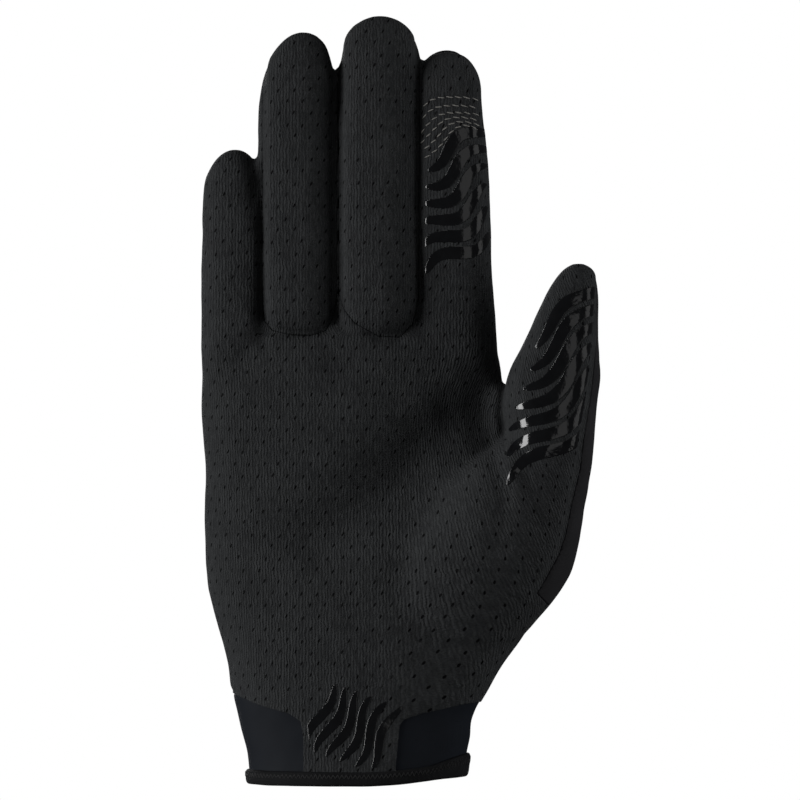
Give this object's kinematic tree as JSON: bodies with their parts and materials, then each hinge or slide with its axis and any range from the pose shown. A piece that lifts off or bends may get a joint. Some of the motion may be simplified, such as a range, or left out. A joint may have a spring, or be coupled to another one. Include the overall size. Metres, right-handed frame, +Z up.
{
  "type": "full-finger cycling glove, right hand, held up in its worn form",
  "caption": "Full-finger cycling glove with a perforated knit palm, raised silicone grip bars, stretch back, slip-on cuff band and bound hem.",
  "frame": {"origin": "middle of the wrist opening, level with the hem's lower edge", "axes": "+Z up the hand towards the fingertips, -Y out of the palm, +X towards the thumb"},
  "size_m": [0.1189, 0.0493, 0.2303],
  "materials": {
    "perforated_knit": "matt charcoal knit with upright ribs and small slanted eyelets",
    "stretch_cloth": "matt black fine stretch cloth",
    "cuff_cloth": "smooth blue-black stretch cloth with a faint sheen",
    "binding_tape": "matt dark folded tape with a line of overlock stitches",
    "silicone_print": "glossy black silicone"
  },
  "bodies": {
    "root": {"palm_panel": "perforated_knit", "ring_finger_front": "perforated_knit", "middle_finger_front": "perforated_knit", "back_panel": "stretch_cloth", "cuff_band": "cuff_cloth", "hem_binding": "binding_tape", "index_grip_1": "silicone_print", "index_grip_2": "silicone_print", "index_grip_3": "silicone_print", "index_grip_4": "silicone_print", "index_grip_5": "silicone_print", "index_grip_6": "silicone_print", "thumb_grip_1": "silicone_print", "thumb_grip_2": "silicone_print", "thumb_grip_3": "silicone_print", "thumb_grip_4": "silicone_print", "thumb_grip_5": "silicone_print", "thumb_grip_6": "silicone_print", "thumb_grip_7": "silicone_print", "heel_grip_1": "silicone_print", "heel_grip_2": "silicone_print", "heel_grip_3": "silicone_print", "heel_grip_4": "silicone_print", "heel_grip_5": "silicone_print", "heel_grip_6": "silicone_print"}
  },
  "joints": []
}
